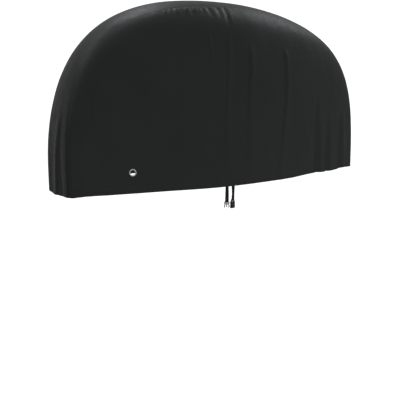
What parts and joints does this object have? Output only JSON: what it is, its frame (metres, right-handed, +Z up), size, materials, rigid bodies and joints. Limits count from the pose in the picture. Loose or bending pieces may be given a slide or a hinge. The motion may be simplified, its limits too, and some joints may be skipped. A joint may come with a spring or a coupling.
{
  "type": "bicycle cover",
  "caption": "Fitted black cloth bicycle cover with side panels and a centre gusset, open below, with metal eyelets near one end and short webbing straps with a buckle at the hem.",
  "frame": {"origin": "under the middle of the cover's top, on its inner face, where what it covers holds it up", "axes": "+X along the length to the rear end, +Y across to the far side, +Z up; the straps hang at the -Y hem"},
  "size_m": [2, 0.648, 1.109],
  "materials": {
    "cover_cloth": "black coated polyester, soft sheen",
    "eyelet_metal": "bright pressed metal",
    "webbing": "black woven webbing",
    "plug_plastic": "light grey moulded plastic",
    "socket_plastic": "black moulded plastic"
  },
  "bodies": {
    "root": {"near_side_panel": "cover_cloth", "far_side_panel": "cover_cloth", "centre_gusset": "cover_cloth", "near_eyelet_patch": "cover_cloth", "far_eyelet_patch": "cover_cloth", "near_eyelet": "eyelet_metal", "far_eyelet": "eyelet_metal", "left_strap": "webbing", "right_strap": "webbing", "plug_buckle": "plug_plastic", "socket_buckle": "socket_plastic"}
  },
  "joints": []
}
